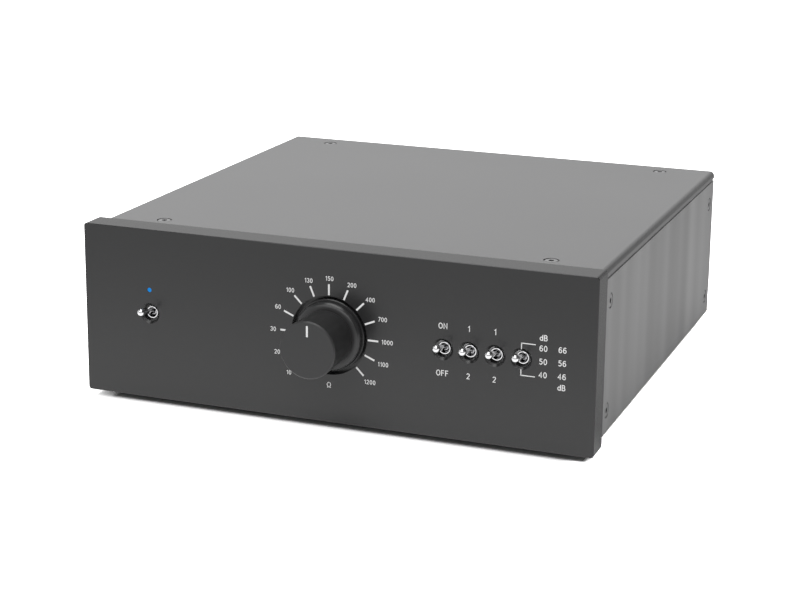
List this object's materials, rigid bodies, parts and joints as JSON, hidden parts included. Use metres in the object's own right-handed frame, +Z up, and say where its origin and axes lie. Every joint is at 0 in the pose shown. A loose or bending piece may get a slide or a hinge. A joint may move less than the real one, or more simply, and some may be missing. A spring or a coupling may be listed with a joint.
{
  "type": "phono preamp",
  "caption": "Half-width phono preamp with a thick front plate, a load dial, toggle switches, a screwed metal case on rubber feet and rear sockets.",
  "frame": {"origin": "bottom centre of the whole, on the surface that the feet stand on", "axes": "+Z up, -Y out of the front plate towards the user, +Y out of the rear panel, +X to the right seen from the front"},
  "size_m": [0.206, 0.2304, 0.071],
  "materials": {
    "plate_black": "fine satin black anodised",
    "side_grey": "brushed dark grey anodised",
    "cover_grey": "satin dark grey powder coat",
    "panel_black": "fine textured black powder coat",
    "sheet_steel": "zinc plated sheet",
    "dark_screw": "blackened steel",
    "zinc_screw": "zinc plated",
    "bright_steel": "turned bright steel",
    "bright_chrome": "polished chrome",
    "foot_rubber": "matt black rubber",
    "knob_black": "fine satin black anodised, turned",
    "light_blue": "clear blue, lit",
    "board_green": "solder resist over glass fibre",
    "brass_post": "turned brass",
    "ribbon_grey": "grey flat cable",
    "moulded_black": "moulded black plastic",
    "can_sleeve": "shrunk sleeve",
    "film_red": "moulded box",
    "relay_white": "moulded case",
    "sink_black": "black anodised extrusion",
    "socket_nickel": "black nickel plated die casting",
    "gold_contact": "gold plated",
    "insulator_white": "moulded insulator, red on the right channel"
  },
  "bodies": {
    "case": {"front_plate": "plate_black", "inner_front_frame": "sheet_steel", "front_plate_screws": "zinc_screw", "rear_panel": "panel_black", "base_plate": "panel_black", "left_side_panel": "side_grey", "right_side_panel": "side_grey", "top_cover": "cover_grey", "cover_screws": "dark_screw", "side_screws": "dark_screw", "base_screws": "dark_screw", "clinch_nuts": "zinc_screw", "feet": "foot_rubber", "foot_screws": "zinc_screw", "pot_body": "sheet_steel", "pot_nut": "zinc_screw", "switch_bodies": "bright_chrome", "lever_pins": "bright_steel", "power_light_pipe": "light_blue", "power_led": "light_blue", "control_board": "board_green", "main_board": "board_green", "socket_board": "board_green", "board_posts": "brass_post", "board_screws": "zinc_screw", "ribbon_cable": "ribbon_grey", "ribbon_headers": "moulded_black", "link_headers": "moulded_black", "reservoir_capacitors": "can_sleeve", "film_capacitors": "film_red", "relays": "relay_white", "transistors": "moulded_black", "heatsinks": "sink_black", "regulators": "moulded_black", "input_socket_shells": "socket_nickel", "input_socket_inserts": "moulded_black", "output_socket_shells": "socket_nickel", "output_socket_inserts": "moulded_black", "output_socket_pins": "gold_contact", "socket_tails": "gold_contact", "socket_screws": "dark_screw", "phono_socket_shells": "gold_contact", "phono_socket_insulators": "insulator_white", "phono_socket_contacts": "gold_contact", "phono_socket_nuts": "zinc_screw", "power_jack": "moulded_black", "power_jack_contacts": "bright_steel", "ground_post": "gold_contact"},
    "dial": {"knob": "knob_black", "knob_grub_screw": "dark_screw", "pot_shaft": "bright_steel"},
    "power_toggle": {"power_lever": "bright_chrome"},
    "mute_toggle": {"mute_lever": "bright_chrome"},
    "load_toggle": {"load_lever": "bright_chrome"},
    "curve_toggle": {"curve_lever": "bright_chrome"},
    "gain_toggle": {"gain_lever": "bright_chrome"},
    "left_latch": {"left_input_latch": "bright_steel"},
    "right_latch": {"right_input_latch": "bright_steel"},
    "ground_washer": {"ground_washer": "gold_contact"},
    "ground_nut": {"ground_nut": "gold_contact"}
  },
  "joints": [
    {"name": "dial_turn", "type": "hinge", "parent": "case", "child": "dial", "pos_m": [0, -0.0948, 0.0376], "axis": [0, 1, 0], "range_deg": [-135, 135]},
    {"name": "power_switch", "type": "hinge", "parent": "case", "child": "power_toggle", "pos_m": [-0.075, -0.0908, 0.0376], "axis": [1, 0, 0], "range_deg": [0, 24]},
    {"name": "mute_switch", "type": "hinge", "parent": "case", "child": "mute_toggle", "pos_m": [0.045, -0.0908, 0.0376], "axis": [1, 0, 0], "range_deg": [0, 24]},
    {"name": "load_switch", "type": "hinge", "parent": "case", "child": "load_toggle", "pos_m": [0.055, -0.0908, 0.0376], "axis": [1, 0, 0], "range_deg": [0, 24]},
    {"name": "curve_switch", "type": "hinge", "parent": "case", "child": "curve_toggle", "pos_m": [0.065, -0.0908, 0.0376], "axis": [1, 0, 0], "range_deg": [0, 24]},
    {"name": "gain_switch", "type": "hinge", "parent": "case", "child": "gain_toggle", "pos_m": [0.075, -0.0908, 0.0376], "axis": [1, 0, 0], "range_deg": [0, 24]},
    {"name": "left_latch_push", "type": "slide", "parent": "case", "child": "left_latch", "axis": [0, 0, -1], "range_m": [0, 0.0015], "stiffness_N_per_m": 300, "springref_m": -0.001},
    {"name": "right_latch_push", "type": "slide", "parent": "case", "child": "right_latch", "axis": [0, 0, -1], "range_m": [0, 0.0015], "stiffness_N_per_m": 300, "springref_m": -0.001},
    {"name": "ground_nut_travel", "type": "slide", "parent": "case", "child": "ground_washer", "axis": [0, 1, 0], "range_m": [0, 0.0035]},
    {"name": "ground_nut_turn", "type": "hinge", "parent": "ground_washer", "child": "ground_nut", "pos_m": [-0.03, 0.1052, 0.02], "axis": [0, 1, 0], "range_deg": [0, 1800]}
  ],
  "couplings": [
    {"joint": "ground_nut_turn", "follows": "ground_nut_travel", "rad_per_m": 8976}
  ]
}
